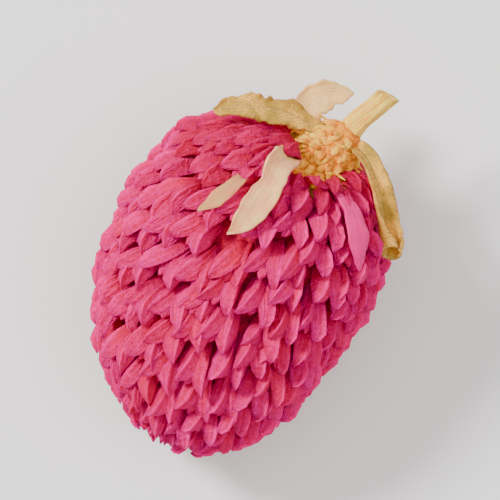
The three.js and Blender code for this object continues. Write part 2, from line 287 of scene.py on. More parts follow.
def extruded(name, section, stations):
    """A closed body: one section of (x, z) points, extruded through stations of (y, width, height)."""
    deselect()
    bpy.ops.mesh.primitive_circle_add(vertices=len(section), radius=1, fill_type="NGON")
    obj = bpy.context.object
    obj.name = name
    place, wide, high = stations[0]
    set_points(obj.data, [(x * wide, place, z * high) for x, z in section])
    bpy.ops.object.mode_set(mode="EDIT")
    bpy.ops.mesh.select_mode(type="FACE")
    bpy.ops.mesh.select_all(action="SELECT")
    for next_place, next_wide, next_high in stations[1:]:
        bpy.ops.mesh.extrude_region_move(TRANSFORM_OT_translate={"value": (0, next_place - place, 0)})
        bpy.ops.transform.resize(
            value=(next_wide / wide, 1, next_high / high), center_override=(0, next_place, 0)
        )
        place, wide, high = next_place, next_wide, next_high
    bpy.ops.object.mode_set(mode="OBJECT")
    bpy.ops.object.shade_smooth()
    outward(obj)
    return obj


def linked(name, data):
    obj = bpy.data.objects.new(name, data)
    bpy.context.collection.objects.link(obj)
    return obj


def copied(pattern, points, **values):
    """A copy of a pattern piece with its own mesh, its points placed and its values painted."""
    mesh = pattern.data.copy()
    set_points(mesh, points)
    paint(mesh, **values)
    return linked(pattern.name, mesh)


def joined(name, pieces, *patterns):
    """One piece made of many, with the patterns that they were copied from removed."""
    pick(*pieces)
    bpy.ops.object.join()
    whole = bpy.context.object
    whole.name = name
    whole.data.name = name
    deselect()
    for pattern in patterns:
        bpy.data.objects.remove(pattern)
    return whole


def outward(obj):
    """Turns every face of a closed piece to point outwards."""
    pick(obj)
    bpy.ops.object.mode_set(mode="EDIT")
    bpy.ops.mesh.select_all(action="SELECT")
    bpy.ops.mesh.normals_make_consistent(inside=False)
    bpy.ops.object.mode_set(mode="OBJECT")
    deselect()


def finished(obj, material, slot, *nodes):
    """Gives a piece its material and the body it rides on, and hides the solids it stands for. The slot is
    not used.
    """
    outward(obj)
    obj.data.materials.clear()
    obj.data.materials.append(material)
    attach(obj, BODY)
    if nodes:
        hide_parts(*nodes)


# Curves


def unit(vectors):
    return vectors / np.linalg.norm(vectors, axis=-1, keepdims=True)


def bezier(root, bend, tip, share):
    """Points and tangents of a quadratic curve in [u, r]."""
    share = share[:, None]
    points = (1 - share) ** 2 * root + 2 * share * (1 - share) * bend + share**2 * tip
    return points, 2 * (1 - share) * (bend - root) + 2 * share * (tip - bend)


def turned_about(axis, vectors, angle):
    """Unit vectors turned about the unit axes that they are square to."""
    angle = np.broadcast_to(angle, len(vectors))[:, None]
    return vectors * np.cos(angle) + np.cross(axis, vectors) * np.sin(angle)


def crumpled(points, size, amount, dice):
    """Points moved a little by smooth waves, as dry paper wrinkles."""
    shift = np.zeros_like(points)
    for octave in (1.0, 0.55, 0.3):
        way, push = (unit(np.array([dice.about(0, 1) for _ in range(3)])) for _ in range(2))
        wave = np.sin(points @ way * (2 * math.pi / (size * octave)) + 6.3 * dice.share())
        shift += np.outer(wave, push * octave)
    return points + shift * amount


def on_head(pattern, root, bend, tip, phi, offset=0.0, splay=0.0, width=1.0, keel=1.0, roll=0.0, curl=0.0):
    """A bract pattern bent along a curve over the head: x in half widths, y from root to tip, z in keels."""
    x, y, z = points_of(pattern.data).T
    centre, run = bezier(root, bend, tip, y)
    place = round_axis(*centre.T, offset + splay * y**2, phi)
    along = unit(round_axis(*run.T, 2 * splay * y, phi))
    side = np.broadcast_to([0.0, math.sin(phi), -math.cos(phi)], along.shape)
    side = unit(side - along * np.sum(side * along, axis=1, keepdims=True))
    out = np.cross(side, along)
    turn = roll * (0.4 + 0.6 * y)
    side, out = turned_about(along, side, turn), turned_about(along, out, turn)
    height = z * keel + curl * y**3
    return drifted(place + side * (x * width / 2)[:, None] + out * height[:, None])


def blend_along(path, share):
    """Points and unit tangents of a smooth curve through a path, at shares of its length."""
    knots = np.array(path, float)
    ends = np.vstack([2 * knots[0] - knots[1], knots, 2 * knots[-1] - knots[-2]])
    fine = []
    for i in range(len(knots) - 1):
        a, b, c, d = ends[i : i + 4]
        t = np.linspace(0, 1, 24, endpoint=False)[:, None]
        fine.append(
            0.5 * (2 * b + (c - a) * t + (2 * a - 5 * b + 4 * c - d) * t**2 + (3 * b - a - 3 * c + d) * t**3)
        )
    curve = np.vstack([*fine, knots[-1:]])
    steps = np.linalg.norm(np.diff(curve, axis=0), axis=1)
    reach = np.concatenate([[0], np.cumsum(steps)]) / steps.sum()

    def at(spots):
        return columns(*(np.interp(spots, reach, curve[:, k]) for k in range(3)))

    return at(share), unit(at(np.clip(share + 0.02, 0, 1)) - at(np.clip(share - 0.02, 0, 1)))


# Shader maths


def maths(operation, swapped=False):
    """A method of Wire that puts it, and another value if there is one, through a maths node."""

    def method(self, *other):
        values = (*other, self) if swapped else (self, *other)
        return self.finish.node("ShaderNodeMath", {"operation": operation}, *values)

    return method


class Wire:
    """A shader socket that can be used in Python expressions."""

    def __init__(self, finish, socket):
        self.finish = finish
        self.socket = socket

    __add__ = __radd__ = maths("ADD")
    __mul__ = __rmul__ = maths("MULTIPLY")
    __sub__ = maths("SUBTRACT")
    __rsub__ = maths("SUBTRACT", swapped=True)
    size = maths("ABSOLUTE")
    sine = maths("SINE")

    def ease(self, low, high):
        """0 below low, 1 above high, and smooth between."""
        settings = {"interpolation_type": "SMOOTHSTEP"}
        return self.finish.node("ShaderNodeMapRange", settings, self, low, high, 0.0, 1.0)


class Finish:
    """One material and the nodes in it."""

    def __init__(self, name, roughness, gloss=0.5, glow=0.0, glow_depth=0.0008):
        self.material = bpy.data.materials.new(name)
        self.material.use_nodes = True
        self.nodes = self.material.node_tree.nodes
        self.links = self.material.node_tree.links
        self.surface = self.nodes["Principled BSDF"]
        for socket, value in (
            ("Roughness", roughness),
            ("Specular IOR Level", gloss),
            ("Subsurface Weight", glow),
            ("Subsurface Scale", glow_depth),
        ):
            self.surface.inputs[socket].default_value = value

    def set(self, socket, value):
        if isinstance(value, Wire):
            self.links.new(value.socket, socket)
        else:
            socket.default_value = value

    def node(self, kind, settings=None, *values, output=0, **named):
        """Any node: its settings first, then its inputs in order or by name."""
        node = self.nodes.new(kind)
        for key, value in (settings or {}).items():
            setattr(node, key, value)
        for index, value in enumerate(values):
            self.set(node.inputs[index], value)
        for key, value in named.items():
            self.set(node.inputs[key], value)
        return Wire(self, node.outputs[output])

    def attributes(self, *names):
        return [self.node("ShaderNodeAttribute", {"attribute_name": name}, output="Fac") for name in names]

    def place(self):
        """Object coordinates in millimetres."""
        spot = self.node("ShaderNodeTexCoord", output="Object")
        return self.node("ShaderNodeVectorMath", {"operation": "SCALE"}, spot, Scale=1 / MM)

    def vector(self, x, y, z):
        return self.node("ShaderNodeCombineXYZ", None, x, y, z)

    def noise(self, where, scale, detail=3.0, roughness=0.55):
        return self.node(
            "ShaderNodeTexNoise", None, Vector=where, Scale=scale, Detail=detail, Roughness=roughness
        )

    def ramp(self, value, stops):
        """A colour by value, from stops of (value, colour)."""
        wire = self.node("ShaderNodeValToRGB", None, value, output="Color")
        elements = wire.socket.node.color_ramp.elements
        elements.remove(elements[1])
        elements[0].position, elements[0].color = stops[0]
        for place, tone in stops[1:]:
            elements.new(place).color = tone
        return wire

    def coated(self, base, *coats):
        """A colour with others laid over it in turn, each as (share, colour)."""
        for share, coat in coats:
            node = self.nodes.new("ShaderNodeMix")
            node.data_type = "RGBA"
            for key, value in (("Factor", share), (6, base), (7, coat)):
                self.set(node.inputs[key], value)
            base = Wire(self, node.outputs[2])
        return base

    def bump(self, height, strength, distance):
        return self.node("ShaderNodeBump", None, Strength=strength, Distance=distance, Height=height)

    def done(self, colour, roughness=None, normal=None):
        self.set(self.surface.inputs["Base Color"], colour)
        if roughness is not None:
            self.set(self.surface.inputs["Roughness"], roughness)
        if normal is not None:
            self.set(self.surface.inputs["Normal"], normal)
        return self.material


# Settings


def colour(name, description, *value):
    """A colour setting in scene-linear red, green and blue."""
    return bpy.props.FloatVectorProperty(
        name=name, description=description, subtype="COLOR", size=4, default=(*value, 1.0)
    )


def measure(name, description, millimetres):
    """A length setting."""
    return bpy.props.FloatProperty(
        name=name, description=description, unit="LENGTH", precision=5, default=millimetres * MM
    )


def count(name, description, number):
    """A setting for how many there are."""
    return bpy.props.IntProperty(name=name, description=description, default=number, min=1)


class HeadSettings(bpy.types.PropertyGroup):
    florets: count("Florets", "How many pairs of bracts cover the head", 226)
    bract_length: measure("Bract length", "Length of a bract", 4.1)
    bract_width: measure("Bract width", "Width of a bract", 1.85)
    bract_keel: measure("Bract keel", "Height of a bract's keel", 0.95)
    crown_bracts: count("Crown bracts", "Small bracts that stand round the tip", 46)
    shoulder_bracts: count("Shoulder bracts", "Long bracts round the receptacle", 64)
    dark: colour("Dark", "Depths that the bracts shade", 0.2, 0.001, 0.02)
    # Deep is the bracts' deeper crimson at the root and also painted shade low between them.
    deep: colour("Deep", "Low between the bracts", 0.56, 0.0015, 0.045)
    middle: colour("Middle", "Main colour of a bract", 0.68, 0.002, 0.125)
    # Crest is also the colour of the painted highlights on the bracts.
    crest: colour("Crest", "A bract's crest and tip", 0.98, 0.004, 0.24)
    plum: colour("Plum", "The bluer bracts", 0.66, 0.002, 0.17)
    red: colour("Red", "The redder bracts", 0.76, 0.004, 0.06)
    wine: colour("Wine", "The oldest bracts", 0.34, 0.001, 0.02)
    coral: colour("Coral", "Bracts near the receptacle", 0.86, 0.045, 0.045)
    straw: colour("Straw", "The foot of the oldest bracts", 0.92, 0.3, 0.04)


class StalkSettings(bpy.types.PropertyGroup):
    stalk_length: measure("Stalk length", "Length of the cut stub", 5.1)
    stalk_radius: measure("Stalk radius", "Radius of the stub", 0.84)
    granules: count("Granules", "Lumps on the receptacle", 230)
    chaff: count("Chaff", "Dry scales on the receptacle", 300)
    wool: count("Wool", "Hairs on the receptacle", 700)
    straw: colour("Straw", "The receptacle", 0.97, 0.33, 0.006)
    pale: colour("Pale", "Fibres and tips on the receptacle", 0.98, 0.58, 0.07)
    # This colour is painted shade in the receptacle's pits and the stain on the stalk.
    shade_and_stain: colour("Hollow", "Depths of the receptacle", 0.62, 0.12, 0.01)
    cream: colour("Cream", "The stalk", 0.98, 0.68, 0.11)


class LeafSettings(bpy.types.PropertyGroup):
    leaf_thickness: measure("Leaf thickness", "Thickness of the dried leafy bracts", 0.2)
    olive: colour("Olive", "Greenest part of the leafy bracts", 0.42, 0.25, 0.025)
    dry: colour("Dry", "Straw part of the leafy bracts", 0.88, 0.45, 0.07)
    brown: colour("Brown", "Flecks on the leafy bracts", 0.2, 0.1, 0.02)
    rib: colour("Rib", "Midrib and veins of the leafy bracts", 0.75, 0.48, 0.14)
    edge: colour("Edge", "Browned edges of the leafy bracts", 0.3, 0.13, 0.03)
    faded: colour("Faded", "Cream of the faded bracts", 0.97, 0.62, 0.22)
    rose: colour("Rose", "Tinge on the faded bracts", 0.9, 0.17, 0.14)
    mauve: colour("Mauve", "The bract that has kept its pink", 1.0, 0.003, 0.24)
    plum: colour("Plum", "Veins of the mauve bract", 0.72, 0.003, 0.15)
    # This colour is painted shade greying the bract behind, and the small bract's own tan base.
    dust_and_shade: colour("Dust", "Greyed part of the bract behind", 0.62, 0.36, 0.12)
    foot: colour("Foot", "Orange foot of the faded bracts", 0.7, 0.22, 0.03)


class StageSettings(bpy.types.PropertyGroup):
    view_turn: bpy.props.FloatProperty(
        name="View turn", description="Angle of the head's axis in the picture", subtype="ANGLE",
        default=math.radians(57.4),
    )
    view_width: measure("View width", "Width of the picture at the head", 40)
    floor_colour: colour("Floor", "The floor", 0.86, 0.845, 0.83)


# Bracts of the head

# Half a bract's section from its crest to its edge and back inside, as shares of half width and keel.
HALF = [(0.07, 1.0), (0.14, 0.7), (0.55, 0.42), (1.0, -0.12), (0.5, 0.22)]
BRACT_SECTION = HALF + [(0.0, 0.54)] + [(-x, z) for x, z in reversed(HALF)]
BUD_SECTION = ring(6)

# Stations of (share of the length, width, keel height).
SCALE_STATIONS = [
    (0.0, 0.42, 0.5), (0.26, 0.84, 0.85), (0.46, 1.02, 1.0), (0.64, 0.98, 1.05),
    (0.8, 0.7, 0.95), (0.92, 0.32, 0.65), (1.0, 0.03, 0.15),
]
LONG_STATIONS = [
    (0.0, 0.5, 0.6), (0.16, 0.74, 0.8), (0.34, 0.9, 0.85), (0.52, 1.0, 0.85),
    (0.68, 0.97, 0.85), (0.83, 0.7, 0.75), (0.93, 0.34, 0.5), (1.0, 0.03, 0.15),
]
BUD_STATIONS = [(0.0, 0.5, 0.5), (0.5, 1.0, 1.0), (0.8, 0.8, 0.8), (1.0, 0.1, 0.1)]

# The share of the keel where the crest begins, and how tall the crest is along the bract.
CREST_FOOT = 0.7
CREST_HEIGHTS = [(0, 0.1), (0.3, 0.3), (0.6, 0.9), (0.85, 1.1), (0.95, 0.8), (1, 0.3)]


def bract_pattern(name, stations):
    """A keeled boat of a bract, one unit long, with a thin crest that rises towards its tip."""
    pattern = extruded(name, BRACT_SECTION, stations)
    x, y, z = points_of(pattern.data).T
    shares, *sizes = np.array(stations).T
    widths, heights = (np.interp(y, shares, size) for size in sizes)
    paint(pattern.data, along=y, across=x / widths, rise=z / heights)
    crest = np.clip(z / heights - CREST_FOOT, 0, None)
    tall = np.interp(y, *np.array(CREST_HEIGHTS).T)
    set_points(pattern.data, columns(x, y, z + crest * (tall - 1) * heights))
    pick(pattern)
    bpy.ops.object.shade_smooth_by_angle(angle=math.radians(48))
    return pattern


def bract_finish(name, settings):
    """Papery crimson, finely veined: deep at the root and pink on crest and tip, partly as painted shade and
    highlight.
    """
    finish = Finish(name, 0.55, gloss=0.05, glow=0.35)
    finish.surface.inputs["Subsurface Radius"].default_value = (1.0, 0.15, 0.25)
    along, across, rise, tint, shoulder = finish.attributes("along", "across", "rise", "tint", "shoulder")
    streaks = finish.noise(finish.vector(across, along * 0.35, tint * 40.0), 5.0, 2.0, 0.6)
    veins = finish.noise(finish.vector(across * 2.0, along * 0.3, tint * 23.0), 5.0, 1.0, 0.5)
    highlight_blotch = finish.noise(finish.vector(across * 0.9, along * 1.5, tint * 61.0), 1.7, 3.0, 0.6)
    spot = finish.place()
    region = finish.noise(spot, 0.13, 2.0, 0.5) * 0.6 + tint * 0.4
    wrinkle = finish.noise(spot, 2.6, 3.0, 0.6)
    old = finish.ramp(along, [(0.16, settings.straw), (0.34, settings.coral), (0.62, settings.wine)])
    crest = rise.ease(0.5, 0.95) * along.ease(0.25, 0.75)
    # Painted highlight in the crest colour: on crest and tip, partly their own paler pink, and on patches and
    # streaks.
    light = crest * 0.85 + along.ease(0.72, 1.0) * 0.4 + highlight_blotch.ease(0.5, 0.72) * along.ease(0.3, 0.8) * 0.4
    light = light + streaks.ease(0.5, 0.62) * 0.5
    light = light * (tint * 0.7 + 0.45) * (1 - shoulder * 0.95)
    body = finish.coated(
        # The deep base, left towards the root, is partly painted shade between the bracts.
        settings.deep,
        (along.ease(0.25, 0.72), settings.middle),
        (region.ease(0.46, 0.72) * 0.8, settings.plum),
        ((1 - region).ease(0.48, 0.74) * 0.8, settings.red),
        (shoulder * (1.15 - along.ease(0.45, 0.95) * 0.55), old),
        ((1 - veins.ease(0.36, 0.5)) * 0.7, settings.deep),
        (light, settings.crest),
        # Painted shade in the wrinkles' troughs and painted highlight on their tops.
        ((1 - wrinkle.ease(0.34, 0.5)) * 0.5, settings.deep),
        (wrinkle.ease(0.56, 0.72) * along.ease(0.3, 0.7) * 0.45, settings.crest),
    )
    height = veins * 0.7 + streaks * 1.1 + wrinkle * 1.6
    return finish.done(body, 0.5 + streaks * 0.25, finish.bump(height, 1.0, 0.0002))


def place_scales(pattern, bud, settings):
    """Pairs of bracts along the golden-angle spiral, parted like a beak, each pair round a slim bud."""
    dice = Dice(31)
    start = np.interp(FLORETS_FROM, OUTLINE_ARC, OUTLINE_ROOM)
    sizes = (settings.bract_length, settings.bract_width, settings.bract_keel)
    length, width, keel = (size / MM for size in sizes)
    for i in range(settings.florets):
        room = mix(start, OUTLINE_ROOM[-1], (i + 0.5) / settings.florets)
        arc = np.interp(room, OUTLINE_ROOM, OUTLINE_ARC) + dice.about(0, 0.45)
        phi = i * GOLDEN_ANGLE + dice.about(0, 0.09)
        if arc < BARE_UNTIL and sector(phi, BARE_AT, BARE_SPREAD) > 0.5:
            continue
        old = sector(phi, LONG_AT, LONG_SPREAD) * (1 - smooth_step(*LONG_ENDS, arc))
        if dice.share() < LONG_DROPPED * old:
            continue
        small = 1 / math.sqrt(crowding(arc))
        crown = smooth_step(ARC_END - CROWN, ARC_END, arc)
        near = 1 - smooth_step(*OLD_ENDS, arc)
        pair = dice.share()
        opened = dice.about(0, 0.22)
        for hand in (-1, 1):
            reach = length * dice.about(1, 0.17) * mix(1, 0.72, crown) * (1 + 0.7 * old)
            stands = dice.about(0.08, 0.34) + 0.25 * crown
            points = on_head(
                pattern,
                root=under(arc - reach, ROOT_DEPTH),
                bend=under(arc - reach * 0.5, -0.15 - stands * 0.5),
                tip=under(arc, -stands),
                phi=phi,
                offset=hand * small * 0.3,
                splay=hand * small * dice.about(1.0 + opened, 0.38) * (1 - 0.5 * old),
                width=width * small * dice.about(1, 0.15) * (1 + 0.4 * old),
                keel=keel * small * dice.about(1, 0.15),
                roll=-hand * dice.about(0.42, 0.36),
                curl=dice.about(-0.05, 0.32),
            )
            tint = np.clip(0.55 * pair + 0.45 * dice.share(), 0, 1)
            place = in_place(crumpled(points, 2.6, 0.09, dice))
            yield copied(pattern, place, tint=tint, shoulder=max(near * 0.7, old * 0.95))
        reach = length * 0.9 * mix(1, 0.7, crown)
        points = on_head(
            bud,
            root=under(arc - reach, ROOT_DEPTH),
            bend=under(arc - reach * 0.5, 0.5),
            tip=under(arc - 0.25, 0.15 + dice.about(0, 0.2)),
            phi=phi,
            offset=dice.about(0, 0.2),
            width=1.5 * small,
            keel=0.5 * small,
        )
        yield copied(bud, in_place(points), tint=pair * 0.6, shoulder=near * 0.5)


def place_crown(pattern, settings):
    """The youngest bracts, small and close, standing up round the tip."""
    dice = Dice(77)
    for i in range(settings.crown_bracts):
        share = math.sqrt((i + 0.5) / settings.crown_bracts)
        arc = ARC_END - mix(0.1, CROWN_BRACTS, share)
        points = on_head(
            pattern,
            root=under(arc - 0.9, 3.6),
            bend=under(arc - 1.1, 0.6),
            tip=under(arc, -0.25 - dice.about(0, 0.3)),
            phi=i * GOLDEN_ANGLE + dice.about(0, 0.25),
            offset=dice.about(0, 0.15),
            splay=dice.about(0, 0.5),
            width=mix(1.0, 1.45, share) * dice.about(1, 0.15),
            keel=dice.about(0.65, 0.15),
            roll=dice.about(0, 0.5),
        )
        place = in_place(crumpled(points, 2.2, 0.08, dice))
        yield copied(pattern, place, tint=dice.share(), shoulder=0.0)


def place_shoulder(pattern, settings):
    """The oldest bracts, long and smooth, in four rows from the receptacle round the shoulder."""
    dice = Dice(57)
    for i in range(settings.shoulder_bracts):
        row = i % 4
        phi = i * GOLDEN_ANGLE + 0.4
        if row < 3 and sector(phi, STRAP_AT, STRAP_SPREAD) > 0.4:
            continue
        bare = sector(phi, BARE_AT, BARE_SPREAD)
        arc = mix(5.8, 7.4, bare) + 1.75 * row + dice.about(0, 0.6)
        out = dice.about(0, 0.3)
        shoulder = under(mix(1.1 + 0.8 * row, BARE_RADIUS, bare), -0.55 - out + 0.12 * row)
        points = on_head(
            pattern,
            root=np.array([4.9 + 0.2 * row, mix(2.7 + 0.4 * row, BARE_RADIUS - 0.2, bare)]),
            bend=shoulder,
            tip=under(arc, -0.15 - out),
            phi=phi,
            offset=dice.about(0, 0.2),
            splay=dice.about(0, 0.8),
            width=dice.about(2.3, 0.35),
            keel=dice.about(0.85, 0.15),
            roll=dice.about(0, 0.35),
            curl=dice.about(0.0, 0.35),
        )
        place = in_place(crumpled(points, 3.4, 0.12, dice))
        yield copied(pattern, place, tint=dice.share(), shoulder=1 - 0.12 * row)


def core_finish(settings):
    """The dark red depth between the bracts, its darkness painted shade."""
    finish = Finish("deep_red_core", 0.8, gloss=0.1)
    grain = finish.noise(finish.place(), 1.4, 3.0, 0.6)
    tone = finish.coated(settings.dark, (grain.ease(0.35, 0.7), settings.deep))
    return finish.done(tone, normal=finish.bump(grain, 0.6, 0.0003))


class AMARANTH_OT_core(bpy.types.Operator):
    """Makes the dark body under the bracts, coloured as painted shade"""

    bl_idname = "amaranth.core"
    bl_label = "Core"

    def execute(self, context):
        deselect()
        bpy.ops.mesh.primitive_uv_sphere_add(segments=40, ring_count=28, radius=1)
        core = context.object
        core.name = "inner_core"
        points = points_of(core.data)
        share = np.arccos(np.clip(points[:, 2], -1, 1)) / math.pi
        turn = np.arctan2(points[:, 1], points[:, 0])
        profile = np.array([under(mix(CORE_FROM, ARC_END, s), CORE_DEPTH) for s in share])
        profile[share < 0.001] = (CORE_POLE, 0.0)
        place = columns(-profile[:, 0], profile[:, 1] * np.cos(turn), profile[:, 1] * np.sin(turn))
        set_points(core.data, in_place(drifted(place)))
        bpy.ops.object.shade_smooth()
        finished(core, core_finish(context.scene.amaranth_head), "crimson_bracts")
        return {"FINISHED"}


class AMARANTH_OT_bracts(bpy.types.Operator):
    """Covers the head with its pairs of crimson bracts"""

    bl_idname = "amaranth.bracts"
    bl_label = "Crimson bracts"

    def execute(self, context):
        settings = context.scene.amaranth_head
        pattern = bract_pattern("bract", SCALE_STATIONS)
        bud = extruded("bud", BUD_SECTION, BUD_STATIONS)
        x, y, z = points_of(bud.data).T
        paint(bud.data, along=y, across=x, rise=z * 0.5)
        pieces = [*place_scales(pattern, bud, settings), *place_crown(pattern, settings)]
        bracts = joined("crimson_bracts", pieces, pattern, bud)
        finished(bracts, bract_finish("crimson_paper", settings), "crimson_bracts", "flower_head")
        return {"FINISHED"}


class AMARANTH_OT_shoulder(bpy.types.Operator):
    """Lays the long smooth bracts round the receptacle"""

    bl_idname = "amaranth.shoulder"
    bl_label = "Shoulder bracts"

    def execute(self, context):
        settings = context.scene.amaranth_head
        pattern = bract_pattern("long_bract", LONG_STATIONS)
        bracts = joined("shoulder_bracts", place_shoulder(pattern, settings), pattern)
        finished(bracts, bract_finish("shoulder_paper", settings), "crimson_bracts")
        return {"FINISHED"}


# Receptacle and stalk

# Profiles as (u, r) of the receptacle, and of the bare foot of the spike round it.
RECEPTACLE_PROFILE = [
    (-1.1, 0.95), (-0.6, 1.3), (0.1, 1.8), (1.0, 2.25), (2.2, 2.5), (3.4, 2.55), (4.4, 2.4),
]
COLLAR_PROFILE = [(5.6, 6.2), (4.4, 5.9), (3.2, 5.1), (2.9, 4.2), (3.1, 3.0), (3.6, 2.2)]

CHAFF_SECTION = [(0.0, 0.3), (0.6, 0.16), (1.0, -0.1), (0.0, -0.02), (-1.0, -0.1), (-0.6, 0.16)]
CHAFF_STATIONS = [(0.0, 0.7, 0.8), (0.3, 1.0, 1.0), (0.6, 0.85, 1.0), (0.85, 0.5, 0.8), (1.0, 0.08, 0.3)]
HAIR_SECTION = [(1.0, 0.0), (-0.5, 0.87), (-0.5, -0.87)]
HAIR_STATIONS = [(0.0, 1.0, 1.0), (0.35, 0.9, 0.9), (0.7, 0.7, 0.7), (1.0, 0.2, 0.2)]
HAIR_RADIUS = 0.028

# Where the wool and scales end, on the receptacle and where it is bare, and where they pass on to the collar.
STRAW_FROM = -0.5
STRAW_UNTIL = 4.4
BARE_STRAW_UNTIL = 7.4
COLLAR_AT = 3.4

# The stub's stations as (u, share of its radius), its ribs as (height, number, phase), and the insets and
# depths of its cut end: the bark's rim, then the pith.
STALK_ROOT = 0.8
STALK_STATIONS = [(STALK_ROOT, 1.25), (-0.3, 1.2), (-1.0, 1.08), (-2.2, 0.98), (-3.6, 0.95)]
STALK_RIBS = [(0.09, 6, 0.0), (0.04, 2, 0.7)]
STALK_CUT = [(0.14, 0.12), (0.3, 0.16)]


def round_body(name, sides, profile):
    """A body of (u, r) stations."""
    body = extruded(name, ring(sides), [(u, r, r) for u, r in profile])
    paint(body.data, along=0.0, tint=0.0)
    return body


def along_neck(obj):
    """Moves a body made along Y from the head's origin into the neck's frame, stalkwards along its axis."""
    set_points(obj.data, in_place(moved(along_axis(points_of(obj.data)), NECK_FRAME)))


def round_neck(points, phi):
    """Points [u, out, aside] at an angle round the neck, placed."""
    return in_place(moved(round_axis(*points.T, phi), NECK_FRAME))


def straw_spot(share, phi):
    """A point [u, r] on the receptacle, or past it on the collar where the florets have dropped."""
    bare = sector(phi, BARE_AT, BARE_SPREAD)
    u = mix(STRAW_FROM, mix(STRAW_UNTIL, BARE_STRAW_UNTIL, bare), share)
    if u < COLLAR_AT:
        return u, np.interp(u, *np.array(RECEPTACLE_PROFILE).T)
    r = 2.4 + (u - COLLAR_AT) * 0.8
    return np.interp(r, *np.array(COLLAR_PROFILE)[::-1, ::-1].T), r


def straw_finish(settings):
    """Woolly straw: darker orange as painted shade where the grain is low, and cream on the fibres."""
    finish = Finish("woolly_straw", 0.8, gloss=0.2, glow=0.2, glow_depth=0.0006)
    spot = finish.place()
    along, tint = finish.attributes("along", "tint")
    grain = finish.noise(spot, 1.6, 4.0, 0.65)
    fibre = finish.noise(spot, 6.0, 3.0, 0.6)
    # The darker base is painted shade where the grain, which also bumps the surface, is low.
    tone = finish.coated(
        settings.shade_and_stain,
        (grain.ease(0.36, 0.62), settings.straw),
        (along.ease(0.3, 1.0) * (tint * 0.8 + 0.2), settings.pale),
        (fibre.ease(0.52, 0.72) * 0.5, settings.pale),
    )
    return finish.done(tone, normal=finish.bump(grain + fibre * 0.6, 0.8, 0.0003))


def wool_finish(settings):
    """Fine pale wool."""
    finish = Finish("pale_wool", 0.6, glow=0.1, glow_depth=0.0003)
    [along] = finish.attributes("along")
    return finish.done(finish.coated(settings.straw, (along, settings.pale)))


def stalk_finish(settings):
    """Dry ribbed stalk, cream with straw furrows."""
    finish = Finish("dry_stalk", 0.6, gloss=0.25, glow=0.15, glow_depth=0.0006)
    along, across = finish.attributes("along", "across")
    ribs = finish.noise(finish.vector(across * 9.0, along * 0.9, 3.0), 3.0, 2.0, 0.6)
    stain = finish.noise(finish.place(), 1.1, 3.0, 0.6)
    tone = finish.coated(
        settings.straw,
        (ribs.ease(0.32, 0.6), settings.cream),
        ((1 - along.ease(0.1, 0.4)) * 0.7, settings.straw),
        (stain.ease(0.55, 0.7) * 0.35, settings.shade_and_stain),
    )
    return finish.done(tone, normal=finish.bump(ribs, 0.8, 0.0003))


def collar():
    """The bare foot of the spike round the receptacle, seen where its lowest florets have dropped."""
    body = round_body("collar", 36, COLLAR_PROFILE)
    set_points(body.data, in_place(along_axis(points_of(body.data))))
    return body


def granules(settings):
    """Lumps where florets have dropped, in an uneven spiral."""
    dice = Dice(11)
    deselect()
    bpy.ops.mesh.primitive_uv_sphere_add(segments=8, ring_count=5, radius=1)
    pattern = bpy.context.object
    pattern.name = "granule"
    bpy.ops.object.shade_smooth()
    ball = points_of(pattern.data)
    paint(pattern.data, along=(ball[:, 2] + 1) / 2)
    pieces = []
    for i in range(settings.granules):
        phi = i * GOLDEN_ANGLE + dice.about(0, 0.25)
        u, r = straw_spot((i + 0.5) / settings.granules + dice.about(0, 0.03), phi)
        size = np.array([dice.about(0.36, 0.14), dice.about(0.36, 0.14), dice.about(0.5, 0.22)])
        lump = crumpled(ball * size, 0.9, 0.08, dice)
        place = columns(u + lump[:, 0] + lump[:, 2] * 0.4, r - 0.1 + lump[:, 2], lump[:, 1])
        pieces.append(copied(pattern, round_neck(place, phi), tint=dice.share()))
    return joined("granules", pieces, pattern)


def chaff(settings):
    """Dry scales between the lumps, thin, bent and of all sizes."""
    dice = Dice(12)
    pattern = extruded("chaff_scale", CHAFF_SECTION, CHAFF_STATIONS)
    x, y, z = points_of(pattern.data).T
    paint(pattern.data, along=y)
    pieces = []
    for i in range(settings.chaff):
        phi = i * GOLDEN_ANGLE + dice.about(0, 0.4)
        u, r = straw_spot((i + 0.5) / settings.chaff + dice.about(0, 0.04), phi)
        tall, lean, wide = dice.about(1.15, 0.55), dice.about(0.75, 0.6), dice.about(0.34, 0.16)
        bent = lean + dice.about(0.2, 0.7) * y
        place = columns(
            u + tall * y * np.sin(bent) - z * 0.5 * np.cos(bent),
            r - 0.2 + tall * y * np.cos(bent) + z * 0.5 * np.sin(bent),
            x * wide + dice.about(0, 0.4) * y**2,
        )
        place = round_neck(crumpled(place, 1.1, 0.05, dice), phi)
        pieces.append(copied(pattern, place, tint=dice.share()))
    return joined("chaff_scales", pieces, pattern)


def wool(settings):
    """Fine curved hairs that stand out between the lumps."""
    dice = Dice(23)
    pattern = extruded("hair", HAIR_SECTION, HAIR_STATIONS)
    x, y, z = points_of(pattern.data).T
    paint(pattern.data, along=y)
    pieces = []
    for _ in range(settings.wool):
        phi = dice.share() * 2 * math.pi
        u, r = straw_spot(dice.share(), phi)
        way = unit(np.array([dice.about(0.1, 0.9), dice.about(0.9, 0.35), dice.about(0, 0.9)]))
        sag = np.array([dice.about(0.3, 0.9), dice.about(-0.35, 0.3), dice.about(0, 0.9)])
        length = dice.about(1.0, 0.45)
        place = np.array([u, r - 0.1, 0.0]) + np.outer(y * length, way)
        place = place + np.outer(y**2 * length * 0.6, sag) + HAIR_RADIUS * columns(0 * x, x, z)
        pieces.append(copied(pattern, round_neck(place, phi)))
    return joined("receptacle_wool", pieces, pattern)


